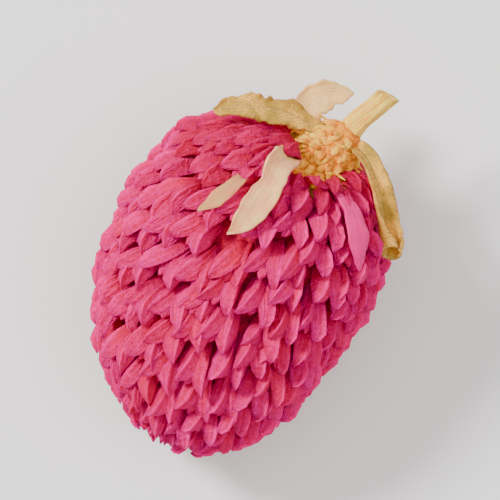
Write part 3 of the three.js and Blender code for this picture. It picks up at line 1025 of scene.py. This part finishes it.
class AMARANTH_OT_receptacle(bpy.types.Operator):
    """Makes the woolly receptacle with its granules, scales and wool"""

    bl_idname = "amaranth.receptacle"
    bl_label = "Receptacle"

    def execute(self, context):
        settings = context.scene.amaranth_stalk
        body = round_body("receptacle", 28, RECEPTACLE_PROFILE)
        along_neck(body)
        straw = straw_finish(settings)
        finished(body, straw, "straw_receptacle", "receptacle_and_stalk")
        for piece in (collar(), granules(settings), chaff(settings)):
            finished(piece, straw, "straw_receptacle")
        finished(wool(settings), wool_finish(settings), "straw_receptacle")
        return {"FINISHED"}


def ribbed_ring(sides):
    """Corners of the stalk's ribbed outline."""
    corners = []
    for x, z in ring(sides):
        turn = math.atan2(z, x)
        rib = 1 + sum(height * math.cos(turn * number + phase) for height, number, phase in STALK_RIBS)
        corners.append((rib * x, rib * z))
    return corners


class AMARANTH_OT_stalk(bpy.types.Operator):
    """Makes the ribbed stub of the stalk with its cut end"""

    bl_idname = "amaranth.stalk"
    bl_label = "Stalk"

    def execute(self, context):
        settings = context.scene.amaranth_stalk
        radius, length = settings.stalk_radius / MM, settings.stalk_length / MM
        stations = [*STALK_STATIONS, (-length, 1.0)]
        stalk = extruded("stalk_stub", ribbed_ring(24), [(u, radius * s, radius * s) for u, s in stations])
        self.cut(stalk, length)
        points = points_of(stalk.data)
        reach = (STALK_ROOT - points[:, 1]) / (STALK_ROOT + length)
        paint(stalk.data, along=reach, across=np.arctan2(points[:, 2], points[:, 0]) / math.pi)
        points[:, 0] += 0.12 * np.sin(reach * 5) + 0.05 * np.sin(reach * 17)
        points[:, 1] += np.where(reach > 0.97, points[:, 0] * 0.3, 0)
        points[:, 2] += 0.25 * reach**2
        set_points(stalk.data, points)
        along_neck(stalk)
        finished(stalk, stalk_finish(settings), "straw_receptacle")
        return {"FINISHED"}

    def cut(self, stalk, length):
        """Insets the end face for the bark's rim and sinks the pith."""
        pick(stalk)
        bpy.ops.object.mode_set(mode="EDIT")
        bpy.ops.mesh.select_all(action="DESELECT")
        bpy.ops.object.mode_set(mode="OBJECT")
        for face in stalk.data.polygons:
            face.select = face.center.y < -length + 0.01 and len(face.vertices) > 4
        bpy.ops.object.mode_set(mode="EDIT")
        for inset, depth in STALK_CUT:
            bpy.ops.mesh.inset(thickness=inset)
            bpy.ops.transform.translate(value=(0, depth, 0))
        bpy.ops.object.mode_set(mode="OBJECT")


# Flat bracts and leaves


class BladeShape(NamedTuple):
    """A blade's path of [u, sideways, height] as in its solid, and how it is cut and bent along that.

    Widths are (share, width) and nicks (share, side, depth, spread). The curve across runs from one angle at
    the foot to another at the tip.
    """

    path: list
    facing: tuple
    widths: list
    curve: tuple
    wave: float
    waves: float
    ragged: float
    seed: int
    nicks: tuple = ()
    pointed: bool = True


BLADES = {
    "leaf_bract_curled": BladeShape(
        path=[
            (-0.2, -2.0, 0.3), (0.1, -3.7, 1.5), (1.2, -5.4, 2.4), (2.6, -6.8, 2.3),
            (3.9, -7.9, 2.1), (4.9, -8.7, 2.5), (5.6, -9.2, 3.6),
        ],
        facing=(0.5, -0.45, 0.75),
        widths=[(0, 1.3), (0.2, 2.2), (0.5, 2.8), (0.72, 3.8), (0.86, 4.8), (1, 5.0)],
        curve=(0.7, 3.05), wave=0.1, waves=2.6, ragged=0.04, seed=3, pointed=False,
        nicks=((0.45, 1, 0.35, 0.03),),
    ),
    "leaf_bract_flat": BladeShape(
        path=[(0.4, 0.4, 0.5), (0.4, 2.6, 1.2), (0.8, 4.8, 2.3), (1.7, 6.8, 3.1), (3.1, 8.6, 3.4)],
        facing=(0.45, 0.25, 0.85),
        widths=[(0, 1.2), (0.3, 2.5), (0.6, 2.8), (0.85, 2.2), (1, 1.2)],
        curve=(0.5, 0.35), wave=0.26, waves=3.2, ragged=0.16, seed=8,
        nicks=((0.86, -1, 0.75, 0.05), (0.55, 1, 0.3, 0.03), (0.98, 1, 0.6, 0.05)),
    ),
    "faded_bract_over_head": BladeShape(
        path=[
            (3.0, 0.9, 2.1), (2.6, 1.7, 5.2), (3.2, 2.1, 8.3), (5.2, 2.0, 10.3), (7.6, 2.2, 11.1),
            (9.2, 2.8, 11.25),
        ],
        facing=(0.8, 0, 0.9),
        widths=[(0, 1.4), (0.35, 2.6), (0.55, 2.2), (0.78, 2.6), (0.9, 1.7), (1, 0.35)],
        curve=(0.8, 0.4), wave=0.14, waves=2.2, ragged=0.06, seed=15,
        nicks=((0.6, 1, 0.3, 0.04),),
    ),
    "faded_bract_behind": BladeShape(
        path=[(1.2, 0.3, -1.5), (0.6, 1.6, -2.2), (-0.4, 2.0, -2.8), (-1.6, 1.2, -3.1), (-2.9, -0.4, -3.2)],
        facing=(0.3, 0.2, 0.9),
        widths=[(0, 1.3), (0.4, 2.9), (0.7, 2.8), (1, 0.6)],
        curve=(0.6, 0.4), wave=0.16, waves=1.9, ragged=0.07, seed=21,
        nicks=((0.75, 1, 0.3, 0.05),),
    ),
    "faded_bract_side": BladeShape(
        path=[(3.4, -2.0, 1.9), (2.9, -3.9, 5.1), (3.8, -5.6, 7.0), (5.2, -6.9, 7.5), (6.9, -7.9, 7.1)],
        facing=(0.5, -0.5, 0.7),
        widths=[(0, 1.2), (0.4, 1.9), (0.75, 2.2), (1, 0.3)],
        curve=(0.5, -1.0), wave=0.08, waves=1.6, ragged=0.03, seed=34,
    ),
    "faded_bract_small": BladeShape(
        path=[(4.9, 3.3, 5.6), (5.8, 4.2, 8.6), (7.5, 4.9, 9.8), (9.2, 5.6, 9.5)],
        facing=(0.4, 0.4, 0.8),
        widths=[(0, 0.8), (0.45, 1.2), (0.75, 1.4), (1, 0.3)],
        curve=(0.6, -0.5), wave=0.08, waves=1.2, ragged=0.05, seed=40,
    ),
}


# How full a blade's point is, how many knots its ragged edge has, and its midrib's groove.
POINT_FULLNESS = 14
RAGGED_KNOTS = 26
MIDRIB_DEPTH = 0.1
MIDRIB_WIDTH = 0.09


def blade(name, shape, thickness):
    """A thin dried blade: a grid laid along its path, curved across, waved and ragged at its edges."""
    deselect()
    bpy.ops.mesh.primitive_grid_add(x_subdivisions=16, y_subdivisions=44, size=2)
    obj = bpy.context.object
    obj.name = name
    a, b, _ = points_of(obj.data).T
    share = (b + 1) / 2
    centre, along = blend_along([(-u, y, z) for u, y, z in shape.path], share)
    across = np.cross(along, np.array(shape.facing, float))
    across /= np.linalg.norm(across, axis=1, keepdims=True)
    out = np.cross(across, along)
    half = np.interp(share, *np.array(shape.widths, float).T) / 2
    if shape.pointed:
        half = half * np.clip(np.sqrt(np.clip(1 - share, 0, 1) * POINT_FULLNESS), 0.05, 1)
    dice = Dice(shape.seed)
    for side in (-1, 1):
        knots = np.linspace(0, 1, RAGGED_KNOTS)
        ragged = np.interp(share, knots, [1 - shape.ragged * 2 * dice.share() for _ in knots])
        half = np.where(np.sign(a) == side, half * mix(1, ragged, np.abs(a)), half)
    for spot, side, depth, width in shape.nicks:
        bite = depth * np.exp(-(((share - spot) / width) ** 2)) * np.abs(a) ** 2
        half = np.where(np.sign(a) == side, half * (1 - bite), half)
    bow = np.maximum(0.05, np.abs(mix(*shape.curve, share**1.4)))
    turn = np.sign(mix(*shape.curve, share))
    aside = half / bow * np.sin(bow * a)
    rise = turn * half / bow * (1 - np.cos(bow * a))
    beat = share * shape.waves * 2 * math.pi
    rise += shape.wave * a**2 * np.sin(beat + np.where(a > 0, 1.7, 0))
    rise += shape.wave * 0.35 * a**2 * np.sin(beat * 3.3 + a * 4)
    rise -= MIDRIB_DEPTH * np.exp(-((a / MIDRIB_WIDTH) ** 2)) * (1 - share)
    points = crumpled(centre + across * aside[:, None] + out * rise[:, None], 3.2, 0.06, dice)
    set_points(obj.data, in_place(points))
    paint(obj.data, along=share, across=a)
    pick(obj)
    solidify = obj.modifiers.new("thickness", "SOLIDIFY")
    solidify.thickness = thickness
    solidify.offset = 0
    bpy.ops.object.modifier_apply(modifier="thickness")
    bpy.ops.object.shade_smooth()
    return obj


def blade_veins(finish, along, across, seed):
    """Lines that leave the midrib and run on towards the tip."""
    slant = along * 16.0 - across.size() * 4.0
    wobble = finish.noise(finish.vector(across * 2.0, along * 5.0, seed), 2.0, 2.0)
    return (slant * 6.28 + wobble * 5.0).sine().ease(0.55, 1.0)


def leaf_finish(settings, name, green):
    """Dried leaf: olive to straw in patches, with a pale midrib, side veins and browned edges."""
    finish = Finish(name, 0.7, gloss=0.25, glow=0.15, glow_depth=0.0006)
    along, across = finish.attributes("along", "across")
    spot = finish.place()
    patch = finish.noise(spot, 0.5, 3.0, 0.6)
    fleck = finish.noise(spot, 4.0, 3.0, 0.65)
    veins = blade_veins(finish, along, across, green)
    rib = 1 - across.size().ease(0.03, 0.14)
    tone = finish.coated(
        settings.dry,
        (patch.ease(0.5 - green, 0.74 - green), settings.olive),
        (fleck.ease(0.54, 0.75) * 0.5, settings.brown),
        (veins * 0.3 + rib * 0.5, settings.rib),
        (across.size().ease(0.8, 1.0) * 0.4, settings.edge),
    )
    height = veins * 0.5 + rib * 1.2 + fleck * 0.8
    return finish.done(tone, 0.6 + fleck * 0.2, finish.bump(height, 0.8, 0.00025))


def faded_finish(settings, name, base, tinge, share):
    """Faded papery bract: cream with a tinge, an orange foot and fine lengthwise veins."""
    finish = Finish(name, 0.55, gloss=0.25, glow=0.25)
    along, across = finish.attributes("along", "across")
    patch = finish.noise(finish.place(), 0.7, 3.0, 0.6)
    veins = finish.noise(finish.vector(across * 4.0, along * 0.9, share * 9.0), 4.0, 2.0, 0.6)
    mask = (patch.ease(0.3, 0.7) * 0.7 + across.size().ease(0.5, 1.0) * 0.35) * share
    foot = (1 - along.ease(0.05, 0.4)) * 0.75
    tone = finish.coated(base, (mask, tinge), (veins.ease(0.5, 0.7) * 0.4, tinge), (foot, settings.foot))
    return finish.done(tone, normal=finish.bump(veins + patch * 0.5, 0.7, 0.0002))


class AMARANTH_OT_leaves(bpy.types.Operator):
    """Makes the two dried leafy bracts at the foot of the head"""

    bl_idname = "amaranth.leaves"
    bl_label = "Leafy bracts"

    def execute(self, context):
        settings = context.scene.amaranth_leaf
        for name, green in (("leaf_bract_curled", 0.1), ("leaf_bract_flat", 0.14)):
            leaf = blade(name.replace("bract", "blade"), BLADES[name], settings.leaf_thickness)
            finished(leaf, leaf_finish(settings, name.replace("bract", "finish"), green), "dried_leaf", name)
        return {"FINISHED"}


class AMARANTH_OT_faded(bpy.types.Operator):
    """Makes the faded cream and mauve bracts"""

    bl_idname = "amaranth.faded"
    bl_label = "Faded bracts"

    def execute(self, context):
        settings = context.scene.amaranth_leaf
        looks = {
            "faded_bract_over_head": (settings.faded, settings.rose, 0.75, "faded_bract"),
            # The bract behind is greyed with painted shade where it lies low.
            "faded_bract_behind": (settings.faded, settings.dust_and_shade, 0.9, "faded_bract"),
            "faded_bract_side": (settings.mauve, settings.plum, 0.5, "mauve_bract"),
            "faded_bract_small": (settings.dust_and_shade, settings.rose, 0.7, "faded_bract"),
        }
        for name, (base, tinge, share, slot) in looks.items():
            bract = blade(name.replace("bract", "paper"), BLADES[name], settings.leaf_thickness)
            look = faded_finish(settings, name.replace("bract", "finish"), base, tinge, share)
            finished(bract, look, slot, name)
        return {"FINISHED"}


# Stage

# The camera's distance, the height it looks at, and its way across and up the picture and above it.
VIEW_DISTANCE = 0.5
VIEW_HEIGHT = 0.011
VIEW_WAY = (-0.045, 0.045, 1.0)

# Each lamp's way across and up the picture and above it, its width in metres and its power in watts.
LAMP_DISTANCE = 0.6
LAMPS = {
    "key": ((-0.72, 0.5, 0.9), 0.14, 5.5),
    "fill": ((0.9, -0.3, 1.0), 0.7, 1.2),
    "top": ((0.1, 0.2, 2.0), 0.5, 1.7),
}
ROOM_LIGHT = 0.55


def toward(settings, across, up, height):
    """A direction from the head, given across and up the picture and above it."""
    turn = -settings.view_turn
    right = Vector((math.cos(turn), math.sin(turn), 0))
    top = Vector((-math.sin(turn), math.cos(turn), 0))
    return (right * across + top * up + Vector((0, 0, height))).normalized()


def add_camera(settings):
    data = bpy.data.cameras.new("view")
    data.sensor_width = 36
    data.sensor_fit = "HORIZONTAL"
    data.lens = data.sensor_width * VIEW_DISTANCE / settings.view_width
    camera = linked("view", data)
    way = toward(settings, *VIEW_WAY)
    camera.location = Vector((0, 0, VIEW_HEIGHT)) + way * VIEW_DISTANCE
    camera.rotation_euler = (0, 0, -settings.view_turn)
    tilt = Vector((0, 0, 1)).rotation_difference(way)
    camera.rotation_euler = (tilt.to_matrix() @ camera.rotation_euler.to_matrix()).to_euler()
    bpy.context.scene.camera = camera


def add_floor(settings):
    deselect()
    bpy.ops.mesh.primitive_plane_add(size=3, location=(0, 0, -0.0001))
    floor = bpy.context.object
    floor.name = "floor"
    floor.data.materials.append(Finish("pale_floor", 0.7).done(settings.floor_colour))


def add_lights(settings):
    for name, (way, size, power) in LAMPS.items():
        data = bpy.data.lights.new(name, "AREA")
        data.shape = "DISK"
        data.size = size
        data.energy = power
        lamp = linked(name, data)
        direction = toward(settings, *way)
        lamp.location = direction * LAMP_DISTANCE
        lamp.rotation_euler = direction.to_track_quat("Z", "Y").to_euler()
    world = bpy.data.worlds.new("soft_room")
    world.use_nodes = True
    background = world.node_tree.nodes["Background"]
    background.inputs["Color"].default_value = (1, 0.99, 0.98, 1)
    background.inputs["Strength"].default_value = ROOM_LIGHT
    bpy.context.scene.world = world


class AMARANTH_OT_stage(bpy.types.Operator):
    """Sets the floor, the soft light and the camera that looks down on the head"""

    bl_idname = "amaranth.stage"
    bl_label = "Stage"

    def execute(self, context):
        settings = context.scene.amaranth_stage
        add_camera(settings)
        add_floor(settings)
        add_lights(settings)
        return {"FINISHED"}


# Panel and registration


class AMARANTH_PT_panel(bpy.types.Panel):
    """The head's pieces and their settings"""

    bl_idname = "AMARANTH_PT_panel"
    bl_label = "Globe Amaranth"
    bl_space_type = "VIEW_3D"
    bl_region_type = "UI"
    bl_category = "Amaranth"

    def draw(self, context):
        for operator in OPERATORS:
            self.layout.operator(operator.bl_idname)
        for name, group in GROUPS.items():
            box = self.layout.box()
            for key in group.__annotations__:
                box.prop(getattr(context.scene, name), key)


GROUPS = {
    "amaranth_head": HeadSettings,
    "amaranth_stalk": StalkSettings,
    "amaranth_leaf": LeafSettings,
    "amaranth_stage": StageSettings,
}
OPERATORS = [
    AMARANTH_OT_core,
    AMARANTH_OT_bracts,
    AMARANTH_OT_shoulder,
    AMARANTH_OT_receptacle,
    AMARANTH_OT_stalk,
    AMARANTH_OT_leaves,
    AMARANTH_OT_faded,
    AMARANTH_OT_stage,
]


def register():
    for group in GROUPS.values():
        bpy.utils.register_class(group)
    for name, group in GROUPS.items():
        setattr(bpy.types.Scene, name, bpy.props.PointerProperty(type=group))
    for kind in [*OPERATORS, AMARANTH_PT_panel]:
        bpy.utils.register_class(kind)


def unregister():
    for kind in reversed([*OPERATORS, AMARANTH_PT_panel]):
        bpy.utils.unregister_class(kind)
    for name, group in reversed(GROUPS.items()):
        delattr(bpy.types.Scene, name)
        bpy.utils.unregister_class(group)


def main():
    register()
    for operator in OPERATORS:
        section, name = operator.bl_idname.split(".")
        getattr(getattr(bpy.ops, section), name)()


if __name__ == "__main__":
    main()
